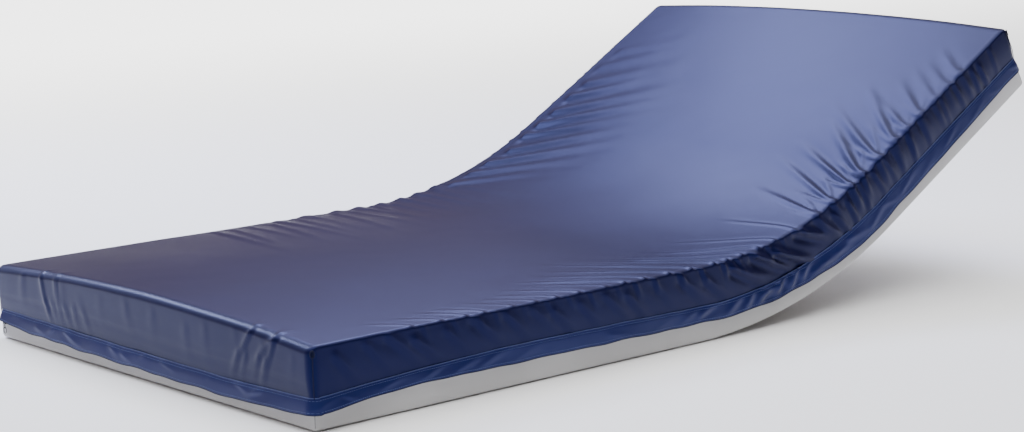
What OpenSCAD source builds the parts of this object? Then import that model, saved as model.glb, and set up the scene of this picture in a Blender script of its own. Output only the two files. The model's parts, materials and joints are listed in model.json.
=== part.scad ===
// Pressure relief mattress for a profiling bed, with its back section raised.
// Origin: centre of the flat section's underside. +X to the head, +Z up, -Y the zipped long side.

/* [Mattress] */
// Length along the line that keeps its length when the mattress bends
length = 2030; // [1650:10:2450]
// Width across the covers
width = 1070; // [800:10:1200]
// Height of the side walls
height = 147; // [120:1:180]
// Rise of the top from its long edges to its middle
crown = 20; // [0:1:30]
// Radius of the upright corners
corner_r = 12; // [6:1:40]
// Radius of the long top edges
edge_r = 14; // [5:1:25]

/* [Bend] */
// Length of the flat section, from the foot to the bend
flat_l = 930; // [800:10:1000]
// Angle of the back section as it is drawn
back_angle = 30; // [10:1:45]
// Greatest angle of the back section
back_angle_max = 70; // [50:1:75]
// Radius of the underside round the bend
bend_r = 1165; // [900:5:1400]
// Height of the line that keeps its length
neutral_h = 45; // [30:1:70]
// Gap between neighbouring sections on each side of a bend line
joint_gap = 0.4; // [0.3:0.1:1]

/* [Covers] */
// Thickness of the cover fabrics with their seam allowance
fabric_t = 2; // [1:0.1:3]
// Height of the base cover's walls
base_h = 38; // [30:1:60]
// Height of the zip chain
chain_h = 6; // [4:0.5:8]
// Distance the zip chain stands out of the walls
chain_out = 1.2; // [0.8:0.1:1.4]
// Height of the zip flap
flap_h = 34; // [25:1:40]
// Distance from the walls to the inside of the flap
flap_out = 6; // [5.5:0.1:8]
// Thickness of the flap
flap_t = 1.5; // [1:0.1:2]
// Diameter of the sewn seam beads
bead_d = 4; // [2:0.5:6]

/* [Foams] */
// Height of the soft comfort layer at the long edges
comfort_h = 60; // [40:1:80]
// Width of the firm foam along each edge
bolster_w = 90; // [60:5:120]
// Length of the soft heel block at the foot
heel_l = 300; // [200:10:400]
// Width of the slots cut along the comfort layer
slot_w = 5; // [3:1:8]
// Depth of those slots
slot_d = 25; // [15:1:35]
// Number of those slots
slots = 6; // [3:1:8]
// Gap between neighbouring foams and covers
fit_gap = 0.4; // [0.3:0.1:1]

/* [Zip pull] */
// Width of the slider along the zip
slider_w = 11; // [9:1:14]
// Thickness of the slider's front plate
plate_t = 2; // [1.5:0.1:2.2]
// Diameter of the slider's pin
pin_d = 1.4; // [1:0.1:1.8]
// Distance between the link's two eyes
link_l = 9; // [7:0.5:14]
// Wire diameter of the pull loop
wire_d = 1.6; // [1.2:0.1:2]
// Outer width of the pull loop
loop_w = 10.5; // [10:0.5:14]
// Outer height of the pull loop
loop_h = 13; // [12:0.5:18]
// Radial clearance of pin and wire in their eyes
pin_clear = 0.05; // [0.02:0.01:0.1]

/* [Hidden] */
$fn = 64;
eps = 1;
HINGES = 4;
LAST = HINGES;
SECTION_NODES = ["base_cover", "top_cover", "zip_flap", "zip_chain", "far_seam",
    "comfort_foam", "core_foam", "side_bolsters"];

// Angle between neighbouring bend lines, and the angle at which each bend line stands
bend_step = back_angle / HINGES;
function bend_at(k) = bend_step * (k - 0.5);
bend_x = flat_l / 2;
back_l = length - flat_l - (bend_r - neutral_h) * back_angle * PI / 180;
top_h = height + crown;

// Half widths of the gap that lets each bend line close, above and below the neutral line
close_up = (back_angle_max - back_angle) / HINGES / 2;
close_down = bend_step / 2;
notch_above = top_h + 30;
notch_below = 10;

chain_z = base_h;
flap_z = base_h - 2;
flap_top = flap_z + flap_h;
tape_t = 0.8;
tape_h = chain_h + 14;
foam_in = fabric_t + tape_t + 2 * fit_gap;
foam_z = fabric_t + fit_gap;
foam_top = height - fabric_t - fit_gap;
core_top = foam_top - comfort_h;
core_half = width / 2 - foam_in - bolster_w;
foot_x = -flat_l / 2;
zip_end_y = width / 2 - corner_r - 2;

// Frame on the underside at an angle round the bend: x to the head, z out of the top
module place(angle)
    translate([bend_x, 0, bend_r]) rotate([0, -angle, 0]) translate([0, 0, -bend_r]) children();

// Sweeps a cross-section, drawn as y across and z up, round a bend that starts flat at x = 0
module round_bend(from, to)
    translate([0, 0, bend_r]) rotate([90, 0, 0]) rotate(from - 90)
        rotate_extrude(angle = to - from, $fn = 720)
            translate([bend_r, 0]) rotate(90) mirror([1, 0]) children();

// Sweeps a cross-section along a straight end of some length and on to the nearest bend line
module end_run(long, over) {
    rotate([90, 0, 90]) translate([0, 0, -long]) linear_extrude(long) children();
    round_bend(0, bend_step / 2 + over) children();
}

// Frame of a section: its straight part ends at x = 0 and its end wall faces -x
module at_section(k)
    if (k == 0) place(0) children();
    else if (k == LAST) place(back_angle) mirror([1, 0, 0]) children();
    else translate([bend_x, 0, 0]) children();

function straight_l(k) = k == 0 ? flat_l : back_l;

// Sweeps a cross-section along section k, from start inside its end wall; over lengthens a cutter
module run(k, start = 0, over = 0)
    at_section(k)
        if (k == 0 || k == LAST) end_run(straight_l(k) - start, over) children();
        else round_bend(bend_at(k) - over, bend_at(k + 1) + over) children();

// Cross-section with a crowned top and rounded long edges
module crowned(inset, low, high, rise) {
    half = width / 2 - inset;
    r = rise > 0 ? edge_r - inset : 0;
    flat_half = half - r;
    steps = rise > 0 ? 4 : 1;
    right_edge = r > 0 ? [for (i = [0:3]) [flat_half + r * cos(i * 30), high - r + r * sin(i * 30)]] : [[half, high]];
    right_top = rise > 0
        ? [for (i = [1:steps]) let (s = 1 - i / steps) [flat_half * s, high + rise * (1 - s * s)]]
        : [];
    right = concat([[half, low]], right_edge, right_top);
    last = len(right) - 1;
    left = [for (i = [last:-1:0]) if (right[i].x > 0) [-right[i].x, right[i].y]];
    polygon(concat(right, left));
}

// Block of one section between two heights, with rounded upright corners
module block(k, inset, low, high, rise = 0, over = 0)
    difference() {
        run(k, inset, over) crowned(inset, low, high, rise);
        if (k == 0 || k == LAST) at_section(k) for (side = [-1, 1])
            translate([inset - straight_l(k), side * (width / 2 - inset), low - eps])
                linear_extrude(high + rise - low + 2 * eps) corner_waste(max(corner_r - inset, 1), side);
    }

// What rounding takes off a corner at the origin
module corner_waste(r, side)
    difference() {
        translate([-eps, side > 0 ? -r : -eps]) square([r + eps, r + eps]);
        translate([r, -side * r]) circle(r);
    }

// Gaps at a section's bend lines, which close as the mattress flattens or folds
module bend_gaps(k)
    for (line = [max(k, 1):min(k + 1, HINGES)])
        place(bend_at(line)) rotate([90, 0, 0]) linear_extrude(width + 60, center = true)
            polygon([
                [-half_gap(-notch_below), -notch_below], [half_gap(-notch_below), -notch_below],
                [half_gap(neutral_h), neutral_h], [half_gap(notch_above), notch_above],
                [-half_gap(notch_above), notch_above], [-half_gap(neutral_h), neutral_h]]);

function half_gap(z) = joint_gap + (z > neutral_h
    ? (z - neutral_h) * tan(close_up)
    : (neutral_h - z) * tan(close_down));

module base_cover(k)
    color([0.78, 0.79, 0.82]) difference() {
        block(k, 0, 0, base_h - fit_gap);
        block(k, fabric_t, fabric_t, base_h + eps, over = 0.5);
        bend_gaps(k);
    }

module top_cover(k)
    color([0.24, 0.26, 0.42]) difference() {
        block(k, 0, base_h + chain_h + fit_gap, height, crown);
        block(k, fabric_t, base_h - eps, height - fabric_t, crown, over = 0.5);
        bend_gaps(k);
    }

// Flap over the zip: foot end, near side and head end
module zip_flap(k)
    color([0.3, 0.34, 0.55]) difference() {
        block(k, -flap_out - flap_t, flap_z, flap_top);
        block(k, -flap_out, flap_z - eps, flap_top - flap_t, over = 0.5);
        block(k, -fit_gap, flap_z - 2 * eps, flap_top + eps, over = 0.5);
        bend_gaps(k);
        far_side_cut();
    }

// Clears the far long side, where the covers are sewn together and not zipped
module far_side_cut()
    translate([-length, zip_end_y, -eps]) cube([2 * length, 100, length]);

module zip_chain(k)
    color([0.12, 0.13, 0.2]) difference() {
        union() {
            block(k, -chain_out, chain_z, chain_z + chain_h);
            block(k, fabric_t + fit_gap, chain_z - tape_h / 4, chain_z + tape_h * 3 / 4);
        }
        block(k, fabric_t + fit_gap + tape_t, chain_z - tape_h, chain_z + tape_h, over = 0.5);
        bend_gaps(k);
        far_side_cut();
    }

// Sewn seam of the two covers along the far long side
module far_seam(k)
    color([0.2, 0.22, 0.36]) difference() {
        run(k, corner_r)
            translate([width / 2 - fabric_t, chain_z]) square([fabric_t + chain_out, chain_h]);
        bend_gaps(k);
    }

// Soft comfort layer under the top, slotted along its length
module comfort_foam(k)
    color([0.93, 0.9, 0.78]) difference() {
        block(k, foam_in, core_top + fit_gap, foam_top, crown);
        run(k, foam_in + bolster_w, 0.5) for (i = [1:slots])
            translate([slot_pitch * i - core_half - slot_w / 2, foam_top - slot_d])
                square([slot_w, slot_d + crown + eps]);
        bend_gaps(k);
    }

slot_pitch = 2 * core_half / (slots + 1);

// High-resilience core between the bolsters
module core_foam(k)
    color([0.75, 0.85, 0.92]) difference() {
        intersection() {
            block(k, foam_in, foam_z, core_top);
            cube([3 * length, 2 * (core_half - fit_gap), 3 * length], center = true);
        }
        if (k == 0) translate([foot_x - eps, -width, -eps]) cube([foot_zone + 2 * eps, 2 * width, top_h]);
        bend_gaps(k);
    }

foot_zone = foam_in + bolster_w + heel_l + fit_gap;

// Firm foam rails along both long edges
module side_bolsters(k)
    color([0.55, 0.62, 0.7]) difference() {
        block(k, foam_in, foam_z, core_top);
        cube([3 * length, 2 * core_half, 3 * length], center = true);
        bend_gaps(k);
    }

// Firm foam across the foot, between the long rails
module foot_bolster()
    color([0.55, 0.62, 0.7])
        translate([foot_x + foam_in, -core_half + fit_gap, foam_z])
            cube([bolster_w - fit_gap, 2 * (core_half - fit_gap), core_top - foam_z]);

// Extra soft foam under the heels
module heel_block()
    color([0.95, 0.8, 0.75])
        translate([foot_x + foam_in + bolster_w, -core_half + fit_gap, foam_z])
            cube([heel_l, 2 * (core_half - fit_gap), core_top - foam_z]);

// Bead of an upright corner seam, on the diagonal of a rounded corner at x = 0
module corner_bead(side) {
    reach = corner_r - (corner_r + bead_d / 4) / sqrt(2);
    translate([reach, -side * reach, flap_top + fit_gap]) cylinder(h = height - edge_r - flap_top, d = bead_d);
}

module corner_seam(k, side)
    color([0.36, 0.39, 0.58]) difference() {
        at_section(k) translate([-straight_l(k), side * width / 2, 0]) corner_bead(side);
        block(k, -bead_clear, 0, top_h);
    }

bead_clear = 0.1;

// Where the zip ends, at the far end of the foot and of the head
stop_l = 4;
stop_out = chain_out + 1.5;
slider_gap = 0.3;

module zip_stop_foot()
    color([0.1, 0.1, 0.12])
        translate([foot_x - stop_out, stop_y, chain_z - eps])
            cube([stop_out - chain_out - 0.1, stop_l, chain_h + 2 * eps]);

stop_y = zip_end_y - stop_l;

module zip_stop_head()
    color([0.1, 0.1, 0.12])
        place(back_angle) translate([back_l + chain_out + 0.1, stop_y, chain_z - eps])
            cube([stop_out - chain_out - 0.1, stop_l, chain_h + 2 * eps]);

// Slider, parked at the zip's far end, with two ears that carry its pin
slider_y = stop_y - slider_w / 2 - 1;
plate_x = foot_x - chain_out - slider_gap - plate_t;
pin_x = plate_x - 1.9;
pin_z = flap_z - 3.2;
ear_t = 1.6;
eye_w = 4;
ear_r = 1.8;
eye_r = 1.7;
side_gap = 0.15;

module zip_slider()
    color([0.1, 0.1, 0.12]) {
        translate([plate_x, slider_y - slider_w / 2, pin_z - ear_r])
            cube([plate_t, slider_w, chain_z + chain_h + 1 - pin_z + ear_r]);
        for (lip = [0, 1])
            translate([plate_x + plate_t - 0.1, slider_y - slider_w / 2, lip == 0 ? chain_z - 2.2 : chain_z + chain_h + 0.4])
                cube([0.8, slider_w, lip == 0 ? 1.6 : 0.6]);
        for (side = [-1, 1])
            translate([0, slider_y + side * (eye_w / 2 + side_gap + ear_t / 2), 0]) ear();
        translate([pin_x, slider_y, pin_z]) rotate([90, 0, 0])
            cylinder(h = eye_w + 2 * side_gap + ear_t, d = pin_d, center = true);
    }

module ear()
    rotate([90, 0, 0]) linear_extrude(ear_t, center = true) {
        translate([pin_x, pin_z]) circle(ear_r);
        translate([pin_x, pin_z - ear_r]) square([plate_x - pin_x + 0.5, 2 * ear_r]);
    }

// Link that hangs from the slider's pin and carries the loop
loop_z = pin_z - link_l;
bar_t = 1.6;
barrel_w = 1.6;

module pull_link()
    color([0.12, 0.12, 0.14]) difference() {
        union() {
            link_eye(pin_z, eye_w);
            link_eye(loop_z, barrel_w);
            translate([pin_x - bar_t / 2, slider_y - barrel_w / 2, loop_z]) cube([bar_t, barrel_w, link_l]);
        }
        link_bore(pin_z, pin_d);
        link_bore(loop_z, wire_d);
    }

module link_eye(z, wide)
    translate([pin_x, slider_y, z]) rotate([90, 0, 0]) cylinder(h = wide, r = eye_r, center = true);

module link_bore(z, d)
    translate([pin_x, slider_y, z]) rotate([90, 0, 0])
        cylinder(h = eye_w + 2, d = d + 2 * pin_clear, center = true);

// Wire loop: a rounded rectangle whose top bar turns in the link's lower eye
bend_wire_r = 3.2;
mid_w = loop_w - wire_d;
mid_h = loop_h - wire_d;

module pull_loop()
    color([0.75, 0.76, 0.78]) translate([pin_x, slider_y, loop_z - mid_h / 2]) rotate([0, 90, 0]) rotate(90) {
        for (side = [-1, 1]) {
            translate([0, side * mid_h / 2, 0]) rotate([0, 90, 0])
                cylinder(h = mid_w - 2 * bend_wire_r, d = wire_d, center = true);
            translate([side * mid_w / 2, 0, 0]) rotate([90, 0, 0])
                cylinder(h = mid_h - 2 * bend_wire_r, d = wire_d, center = true);
        }
        for (turn = [0:3])
            translate([
                (turn == 0 || turn == 3 ? 1 : -1) * (mid_w / 2 - bend_wire_r),
                (turn < 2 ? 1 : -1) * (mid_h / 2 - bend_wire_r), 0])
                rotate(turn * 90) rotate_extrude(angle = 90) translate([bend_wire_r, 0]) circle(d = wire_d);
    }

for (k = [0:LAST]) {
    base_cover(k);
    top_cover(k);
    zip_flap(k);
    zip_chain(k);
    far_seam(k);
    comfort_foam(k);
    core_foam(k);
    side_bolsters(k);
}
heel_block();
foot_bolster();
corner_seam(0, -1);  // corner_seam_foot_near
corner_seam(0, 1);  // corner_seam_foot_far
corner_seam(LAST, -1);  // corner_seam_head_near
corner_seam(LAST, 1);  // corner_seam_head_far
zip_stop_foot();
zip_stop_head();
zip_slider();
pull_link();
pull_loop();
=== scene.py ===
"""Looks of the pressure relief mattress: fitted covers, zip flap, seams, zip and studio.

Everything is laid out in bed coordinates (s, y, h): s runs from the foot to the head along the line
that keeps its length, with 0 where the bend starts; y runs across; h is the height above the underside.
to_frame() carries them round the bend into the shared frame, in metres.
"""
import json
import math
import random
import bpy
import numpy as np
from mathutils import Matrix, Vector


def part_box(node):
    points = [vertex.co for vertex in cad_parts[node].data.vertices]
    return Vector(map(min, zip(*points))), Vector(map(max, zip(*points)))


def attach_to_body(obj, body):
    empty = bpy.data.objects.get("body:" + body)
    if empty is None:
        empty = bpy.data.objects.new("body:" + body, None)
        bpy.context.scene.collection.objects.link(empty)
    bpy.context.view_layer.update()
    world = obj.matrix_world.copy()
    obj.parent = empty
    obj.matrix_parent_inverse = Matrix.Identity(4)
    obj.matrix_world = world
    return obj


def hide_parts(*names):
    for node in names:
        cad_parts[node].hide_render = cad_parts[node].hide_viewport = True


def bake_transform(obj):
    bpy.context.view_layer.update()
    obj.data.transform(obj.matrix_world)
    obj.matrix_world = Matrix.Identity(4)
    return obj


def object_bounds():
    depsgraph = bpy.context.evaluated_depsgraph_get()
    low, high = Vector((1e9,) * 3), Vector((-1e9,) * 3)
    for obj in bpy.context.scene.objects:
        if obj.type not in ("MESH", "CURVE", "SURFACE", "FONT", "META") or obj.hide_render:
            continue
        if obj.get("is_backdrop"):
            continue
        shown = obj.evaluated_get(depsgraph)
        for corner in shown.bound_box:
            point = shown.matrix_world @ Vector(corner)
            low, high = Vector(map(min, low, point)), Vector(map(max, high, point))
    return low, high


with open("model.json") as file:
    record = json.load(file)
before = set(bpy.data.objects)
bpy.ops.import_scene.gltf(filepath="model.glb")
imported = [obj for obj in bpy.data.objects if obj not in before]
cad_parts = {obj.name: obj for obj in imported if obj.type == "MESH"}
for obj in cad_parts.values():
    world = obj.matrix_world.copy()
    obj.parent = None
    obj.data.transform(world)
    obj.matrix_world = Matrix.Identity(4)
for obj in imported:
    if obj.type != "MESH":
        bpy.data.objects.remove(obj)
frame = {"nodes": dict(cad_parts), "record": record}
rest_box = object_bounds()

# ---- Sizes read from the frame -------------------------------------------------------------------

JOINTS = {j["name"]: j for j in frame["record"]["behaviour"]["joints"]}
HINGES = [np.array(JOINTS[f"bend_{k}"]["pos_m"]) for k in range(1, 5)]
BODIES = ["foot_section", "bend_section_1", "bend_section_2", "bend_section_3", "back_section"]
FOOT_BOX = [np.array(corner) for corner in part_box("base_cover_0")]
HEAD_BOX = [np.array(corner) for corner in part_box("base_cover_4")]


def turn_of(a, b):
    return math.atan2(b[2] - a[2], b[0] - a[0])


STEP = (turn_of(HINGES[2], HINGES[3]) - turn_of(HINGES[0], HINGES[1])) / 2
BEND = STEP * len(HINGES)
NEUTRAL_R = np.linalg.norm(HINGES[1] - HINGES[0]) / (2 * math.sin(STEP / 2))
UNDER_R = HINGES[0][2] + NEUTRAL_R * math.cos(STEP / 2)
BEND_X = HINGES[0][0] - NEUTRAL_R * math.sin(STEP / 2)
HALF_W = FOOT_BOX[1][1]
S_FOOT = FOOT_BOX[0][0] - BEND_X
S_BEND = NEUTRAL_R * BEND
S_HEAD = S_BEND + (HEAD_BOX[1][0] - BEND_X - UNDER_R * math.sin(BEND)) / math.cos(BEND)
TOP_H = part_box("top_cover_0")[1][2]
CROWN = 0.020
EDGE_H = TOP_H - CROWN
HINGE_S = [NEUTRAL_R * STEP * (k + 0.5) for k in range(4)]
# Where one piece of each cover ends and the next begins: the middles of the bend's sections
BREAKS = [0.0] + [(HINGE_S[k] + HINGE_S[k + 1]) / 2 for k in range(3)] + [S_BEND]


def to_frame(points):
    """Bed coordinates to the shared frame."""
    s, y, h = points[:, 0], points[:, 1], points[:, 2]
    angle = np.clip(s / NEUTRAL_R, 0, BEND)
    rest = s - NEUTRAL_R * angle
    radius = UNDER_R - h
    x = BEND_X + radius * np.sin(angle) + rest * np.cos(angle)
    z = UNDER_R - radius * np.cos(angle) + rest * np.sin(angle)
    return np.column_stack([x, y, z])


# ---- Camera and studio ---------------------------------------------------------------------------

VIEW_TURN = math.radians(49.07)
VIEW_DOWN = math.radians(9.86)
VIEW_ROLL = math.radians(-1.29)
VIEW_FROM = Vector((-2.7547, -3.6987, 1.0424))
LENS_MM = 83.0
SENSOR_MM = 36
FLOOR_SIZE = 60
FLOOR_DROP = 0.002
# Behind the mattress the floor glows from this y to this one, up to this strength
GLOW_START, GLOW_END, GLOW_STRENGTH = 1.0, 6.0, 2.4
# Each lamp's place, what it faces, its size, its power in watts and its colour
LAMPS = {
    "back_key": ((1.75, 1.9, 2.9), (1.15, -0.2, 0.45), (1.6, 1.6), 85, (0.48, 0.545, 1.0)),
    "edge_key": ((-0.50, 2.7, 2.4), (-0.45, 0, 0.15), (1.1, 0.9), 75, (0.66, 0.74, 1.0)),
    "foot_key": ((-1.6, 3.4, 1.6), (-0.6, 0, 0.15), (1.9, 1.5), 16, (0.60, 0.70, 1.0))}
# Brightness of the sky at heights from the horizon (0) to straight up (1)
SKY = ((0.0, (0.32, 0.21, 0.14)), (0.35, (0.30, 0.22, 0.17)), (0.70, (0.42, 0.42, 0.46)),
       (0.88, (4.4, 4.4, 4.4)))
# The sky dims towards the near side: its share there, and where along y + z it is dim and full
SKY_DIM, SKY_DIM_AT, SKY_FULL_AT = 0.12, -0.3, 0.6


def add_camera():
    ahead = Vector((math.cos(VIEW_DOWN) * math.cos(VIEW_TURN),
                    math.cos(VIEW_DOWN) * math.sin(VIEW_TURN), -math.sin(VIEW_DOWN)))
    right = ahead.cross(Vector((0, 0, 1))).normalized()
    up = right.cross(ahead)
    rolled_right = right * math.cos(VIEW_ROLL) + up * math.sin(VIEW_ROLL)
    rolled_up = up * math.cos(VIEW_ROLL) - right * math.sin(VIEW_ROLL)
    lens = bpy.data.cameras.new("camera")
    lens.lens = LENS_MM
    lens.sensor_width = SENSOR_MM
    lens.clip_end = 100
    camera = bpy.data.objects.new("camera", lens)
    bpy.context.scene.collection.objects.link(camera)
    camera.matrix_world = Matrix((
        (rolled_right.x, rolled_up.x, -ahead.x, VIEW_FROM.x),
        (rolled_right.y, rolled_up.y, -ahead.y, VIEW_FROM.y),
        (rolled_right.z, rolled_up.z, -ahead.z, VIEW_FROM.z),
        (0, 0, 0, 1)))
    bpy.context.scene.camera = camera


def add_light(name, place, aim, size, watts, tint):
    lamp = bpy.data.lights.new(name, "AREA")
    lamp.shape = "RECTANGLE"
    lamp.size, lamp.size_y = size
    lamp.energy = watts
    lamp.color = tint
    light = bpy.data.objects.new(name, lamp)
    bpy.context.scene.collection.objects.link(light)
    light.location = place
    light.rotation_euler = (Vector(aim) - Vector(place)).to_track_quat("-Z", "Y").to_euler()


def add_sky():
    """Soft light from above that falls away towards the horizon, and most on the near side."""
    world = bpy.data.worlds.new("studio")
    bpy.context.scene.world = world
    world.use_nodes = True
    nodes, links = world.node_tree.nodes, world.node_tree.links
    way = nodes.new("ShaderNodeTexCoord")
    parts = nodes.new("ShaderNodeSeparateXYZ")
    links.new(way.outputs["Generated"], parts.inputs[0])
    ramp = nodes.new("ShaderNodeValToRGB")
    ramp.color_ramp.interpolation = "EASE"
    while len(ramp.color_ramp.elements) < len(SKY):
        ramp.color_ramp.elements.new(0.5)
    for element, (height, tone) in zip(ramp.color_ramp.elements, SKY):
        element.position = height
        element.color = (*tone, 1)
    links.new(parts.outputs["Z"], ramp.inputs["Fac"])
    links.new(ramp.outputs["Color"], nodes["Background"].inputs["Color"])
    total = nodes.new("ShaderNodeMath")
    links.new(parts.outputs["Y"], total.inputs[0])
    links.new(parts.outputs["Z"], total.inputs[1])
    dim = nodes.new("ShaderNodeMapRange")
    dim.inputs["From Min"].default_value = SKY_DIM_AT
    dim.inputs["From Max"].default_value = SKY_FULL_AT
    dim.inputs["To Min"].default_value = SKY_DIM
    links.new(total.outputs[0], dim.inputs["Value"])
    links.new(dim.outputs["Result"], nodes["Background"].inputs["Strength"])


def glow_behind(paper):
    """Painted glow: the paper floor's own material emits light behind the mattress, so it fades to white
    there.
    """
    nodes, links = paper.node_tree.nodes, paper.node_tree.links
    place = nodes.new("ShaderNodeTexCoord")
    parts = nodes.new("ShaderNodeSeparateXYZ")
    links.new(place.outputs["Object"], parts.inputs[0])
    far = nodes.new("ShaderNodeMapRange")
    far.interpolation_type = "SMOOTHSTEP"
    far.inputs["From Min"].default_value = GLOW_START
    far.inputs["From Max"].default_value = GLOW_END
    far.inputs["To Max"].default_value = GLOW_STRENGTH
    links.new(parts.outputs["Y"], far.inputs["Value"])
    shader = nodes["Principled BSDF"]
    # painted glow: white emission in the floor, rising with y behind the mattress
    shader.inputs["Emission Color"].default_value = (1, 1, 1, 1)
    links.new(far.outputs["Result"], shader.inputs["Emission Strength"])


def add_studio():
    bpy.ops.mesh.primitive_plane_add(size=FLOOR_SIZE, location=(0, 0, -FLOOR_DROP))
    floor = bpy.context.object
    floor.name = "floor"
    paper = plain("studio_floor", (0.95, 0.95, 0.95), 0.9)
    floor.data.materials.append(paper)
    floor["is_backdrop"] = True
    glow_behind(paper)
    add_sky()
    for name, (place, aim, size, watts, tint) in LAMPS.items():
        add_light(name, place, aim, size, watts, tint)


# ---- Materials -----------------------------------------------------------------------------------


def plain(name, colour, roughness, metallic=0.0):
    material = bpy.data.materials.new(name)
    material.use_nodes = True
    shader = material.node_tree.nodes["Principled BSDF"]
    shader.inputs["Base Color"].default_value = (*colour, 1)
    shader.inputs["Roughness"].default_value = roughness
    shader.inputs["Metallic"].default_value = metallic
    return material


def socket(material, name, value):
    material.node_tree.nodes["Principled BSDF"].inputs[name].default_value = value


def patchy(material, colour, scale, amount, source):
    """Soft patches of a lighter and darker colour."""
    nodes, links = material.node_tree.nodes, material.node_tree.links
    cloud = nodes.new("ShaderNodeTexNoise")
    cloud.inputs["Scale"].default_value = scale
    cloud.inputs["Detail"].default_value = 4
    links.new(source, cloud.inputs["Vector"])
    ramp = nodes.new("ShaderNodeValToRGB")
    for element, place, gain in zip(ramp.color_ramp.elements, (0.3, 0.7), (1 - amount, 1 + amount)):
        element.position = place
        element.color = (*[min(1, c * gain) for c in colour], 1)
    links.new(cloud.outputs["Fac"], ramp.inputs["Fac"])
    links.new(ramp.outputs["Color"], nodes["Principled BSDF"].inputs["Base Color"])


def bumpy(material, height, depth, strength=0.5):
    nodes, links = material.node_tree.nodes, material.node_tree.links
    bump = nodes.new("ShaderNodeBump")
    bump.inputs["Strength"].default_value = strength
    bump.inputs["Distance"].default_value = depth
    links.new(height, bump.inputs["Height"])
    links.new(bump.outputs["Normal"], nodes["Principled BSDF"].inputs["Normal"])


WAVE_PER_PITCH = 0.314  # the wave texture's scale times its wavelength


def weave(name, colour, roughness, pitch, depth, patch=0.12, sheen=0.0, gloss=0.5,
          gloss_tint=(1, 1, 1)):
    """Fabric: fine crossed threads in the bump, and soft patches of lighter and darker dye."""
    material = plain(name, colour, roughness)
    nodes, links = material.node_tree.nodes, material.node_tree.links
    socket(material, "Sheen Weight", sheen)
    socket(material, "Sheen Roughness", 0.4)
    socket(material, "Sheen Tint", (0.55, 0.62, 1.0, 1))
    socket(material, "Specular IOR Level", gloss)
    socket(material, "Specular Tint", (*gloss_tint, 1))
    place = nodes.new("ShaderNodeUVMap")
    threads = []
    for direction in ("X", "Y"):
        wave = nodes.new("ShaderNodeTexWave")
        wave.bands_direction = direction
        wave.inputs["Scale"].default_value = WAVE_PER_PITCH / pitch
        wave.inputs["Distortion"].default_value = 0.6
        wave.inputs["Detail"].default_value = 1
        links.new(place.outputs["UV"], wave.inputs["Vector"])
        threads.append(wave)
    cross = nodes.new("ShaderNodeMath")
    cross.operation = "MULTIPLY"
    links.new(threads[0].outputs["Fac"], cross.inputs[0])
    links.new(threads[1].outputs["Fac"], cross.inputs[1])
    bumpy(material, cross.outputs[0], depth)
    patchy(material, colour, 3.5, patch, place.outputs["UV"])
    return material


def foam(name, colour):
    """Open-cell foam: a matt skin full of fine pores."""
    material = plain(name, colour, 0.95)
    nodes, links = material.node_tree.nodes, material.node_tree.links
    place = nodes.new("ShaderNodeTexCoord")
    pores = nodes.new("ShaderNodeTexVoronoi")
    pores.inputs["Scale"].default_value = 700
    links.new(place.outputs["Object"], pores.inputs["Vector"])
    bumpy(material, pores.outputs["Distance"], 0.0006, 0.8)
    patchy(material, colour, 12, 0.06, place.outputs["Object"])
    return material


def worn(name, colour, roughness, metallic):
    """Painted or plated metal with fine scratches and a little grime."""
    material = plain(name, colour, roughness, metallic)
    nodes, links = material.node_tree.nodes, material.node_tree.links
    place = nodes.new("ShaderNodeTexCoord")
    grain = nodes.new("ShaderNodeTexNoise")
    grain.inputs["Scale"].default_value = 900
    grain.inputs["Detail"].default_value = 6
    links.new(place.outputs["Object"], grain.inputs["Vector"])
    bumpy(material, grain.outputs["Fac"], 0.00008, 0.4)
    patchy(material, colour, 160, 0.25, place.outputs["Object"])
    return material


# ---- Relief: creases, folds and soft unevenness --------------------------------------------------


def smooth_noise(a, b, cell, seed):
    """Soft random relief from -1 to 1 that changes over about one cell."""
    chance = np.random.default_rng(seed)
    grid = chance.uniform(-1, 1, (96, 96))
    u, v = a / cell + 40, b / cell + 40
    i, j = np.floor(u).astype(int) % 95, np.floor(v).astype(int) % 95
    fu, fv = u - np.floor(u), v - np.floor(v)
    fu, fv = fu * fu * (3 - 2 * fu), fv * fv * (3 - 2 * fv)
    low = grid[i, j] * (1 - fu) + grid[i + 1, j] * fu
    high = grid[i, j + 1] * (1 - fu) + grid[i + 1, j + 1] * fu
    return low * (1 - fv) + high * fv


HOOK_LENGTH = 0.02


def crease(a, b, start, angle, length, width, height, fan=0.8, bow=0.0, hook=0.0, pinch=0.012,
           valley=0.55):
    """A ridge with a valley beside it that runs from start and fades over its length. It widens
    by its share fan, bow curves it, hook turns its start to the side, pinch is how far it reaches
    back past its start, and valley is the valley's share of the ridge's height."""
    da, db = a - start[0], b - start[1]
    along = da * math.cos(angle) + db * math.sin(angle)
    across = db * math.cos(angle) - da * math.sin(angle) - bow * along * along
    across = across - hook * np.exp(-np.clip(along, 0, 1) / HOOK_LENGTH)
    t = np.clip(along / length, 0, 1)
    fade = np.where(along < 0, np.exp(-(along / pinch) ** 2), (1 - t) ** 1.3 * (1 + 0.6 * t))
    w = width * (1 + fan * t)
    ridge = np.exp(-(across / w) ** 2) - valley * np.exp(-((across + 1.5 * w) / (1.1 * w)) ** 2)
    return height * fade * ridge


def swell(at, middle, reach):
    """1 at the middle, fading to nothing within about two reaches."""
    return math.exp(-((at - middle) / reach) ** 2)


# Creases before and after this s lean to opposite ends
CREASE_TURN_S = 0.33
# Middles of the creased stretches before and after it
SEAT_CREASE_S, BACK_CREASE_S = 0.06, 0.50
# Clear of creases: from the foot to here, and from here to the head
CREASE_FREE_FOOT, CREASE_FREE_HEAD = 0.24, 0.13
NEAR_EDGE_Y = -HALF_W + 0.004


def near_crease_angle(s):
    """Creases from the near long edge lean to the foot before the bend and to the head after it."""
    return math.radians(101 - 46 * math.tanh((s - 0.34) / 0.09))


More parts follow.
